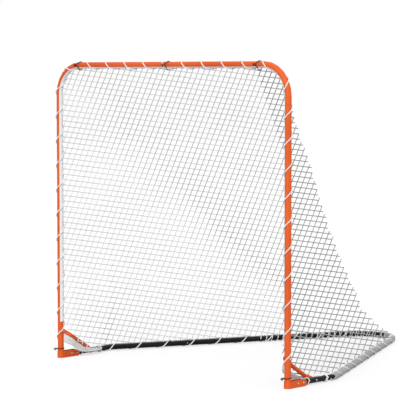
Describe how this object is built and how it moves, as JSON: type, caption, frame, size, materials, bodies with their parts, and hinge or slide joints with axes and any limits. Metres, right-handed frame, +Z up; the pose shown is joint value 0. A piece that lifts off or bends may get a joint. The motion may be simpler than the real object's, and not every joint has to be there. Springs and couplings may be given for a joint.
{
  "type": "folding lacrosse goal",
  "caption": "Folding lacrosse goal: a square orange tube mouth, a black V-shaped ground base that tips up on bolted feet, short braces, and a white laced net",
  "frame": {"origin": "on the ground, under the centre of the goal's bounding box", "axes": "+Y runs from the mouth back to the apex of the base, +X is to the right of someone facing the mouth, +Z is up"},
  "size_m": [1.9136, 2.1728, 1.8714],
  "materials": {
    "frame_paint": "glossy orange powder coat",
    "base_paint": "glossy black powder coat",
    "zinc_hardware": "bright zinc plating",
    "lacing_cord": "white braided cord",
    "webbing": "white woven webbing",
    "netting": "white knotted twine",
    "bungee_ball": "satin black plastic",
    "bungee_cord": "black braided elastic cord"
  },
  "bodies": {
    "mouth": {"brace_top_bolt_left": "zinc_hardware", "brace_top_bolt_right": "zinc_hardware", "bungee_crossbar_left_ball": "bungee_ball", "bungee_crossbar_left_cord": "bungee_cord", "bungee_crossbar_middle_ball": "bungee_ball", "bungee_crossbar_middle_cord": "bungee_cord", "bungee_crossbar_right_ball": "bungee_ball", "bungee_crossbar_right_cord": "bungee_cord", "bungee_post_left_ball": "bungee_ball", "bungee_post_left_cord": "bungee_cord", "bungee_post_right_ball": "bungee_ball", "bungee_post_right_cord": "bungee_cord", "corner_elbow_left": "frame_paint", "corner_elbow_right": "frame_paint", "crossbar_left": "frame_paint", "crossbar_middle_screw": "zinc_hardware", "crossbar_right": "frame_paint", "elbow_crossbar_screw_left": "zinc_hardware", "elbow_crossbar_screw_right": "zinc_hardware", "elbow_post_screw_left": "zinc_hardware", "elbow_post_screw_right": "zinc_hardware", "foot_bracket_left": "frame_paint", "foot_bracket_right": "frame_paint", "front_lacing": "lacing_cord", "front_tape": "webbing", "lock_bolt_left": "zinc_hardware", "lock_bolt_right": "zinc_hardware", "net_rear": "netting", "net_side_left": "netting", "net_side_right": "netting", "pivot_bolt_left": "zinc_hardware", "pivot_bolt_right": "zinc_hardware", "post_lower_left": "frame_paint", "post_lower_right": "frame_paint", "post_screw_left": "zinc_hardware", "post_screw_right": "zinc_hardware", "post_upper_left": "frame_paint", "post_upper_right": "frame_paint"},
    "base": {"base_apex": "base_paint", "base_apex_screw_left": "zinc_hardware", "base_apex_screw_right": "zinc_hardware", "base_front_left": "base_paint", "base_front_right": "base_paint", "base_front_screw_left": "zinc_hardware", "base_front_screw_right": "zinc_hardware", "base_lacing_left": "lacing_cord", "base_lacing_right": "lacing_cord", "base_rear_left": "base_paint", "base_rear_right": "base_paint", "base_tape_left": "webbing", "base_tape_right": "webbing", "brace_foot_bolt_left": "zinc_hardware", "brace_foot_bolt_right": "zinc_hardware"},
    "brace_left": {"brace_left": "frame_paint"},
    "brace_right": {"brace_right": "frame_paint"}
  },
  "joints": [
    {"name": "base_fold", "type": "hinge", "parent": "mouth", "child": "base", "pos_m": [0, -0.9518, 0.0225], "axis": [1, 0, 0], "range_deg": [0, 88], "deforming": ["net_rear", "net_side_left", "net_side_right"]},
    {"name": "brace_left_swing", "type": "hinge", "parent": "mouth", "child": "brace_left", "pos_m": [-0.9335, -1.0268, 0.171], "axis": [1, 0, 0], "range_deg": [0, 129]},
    {"name": "brace_right_swing", "type": "hinge", "parent": "mouth", "child": "brace_right", "pos_m": [0.9335, -1.0268, 0.171], "axis": [1, 0, 0], "range_deg": [0, 129]}
  ]
}
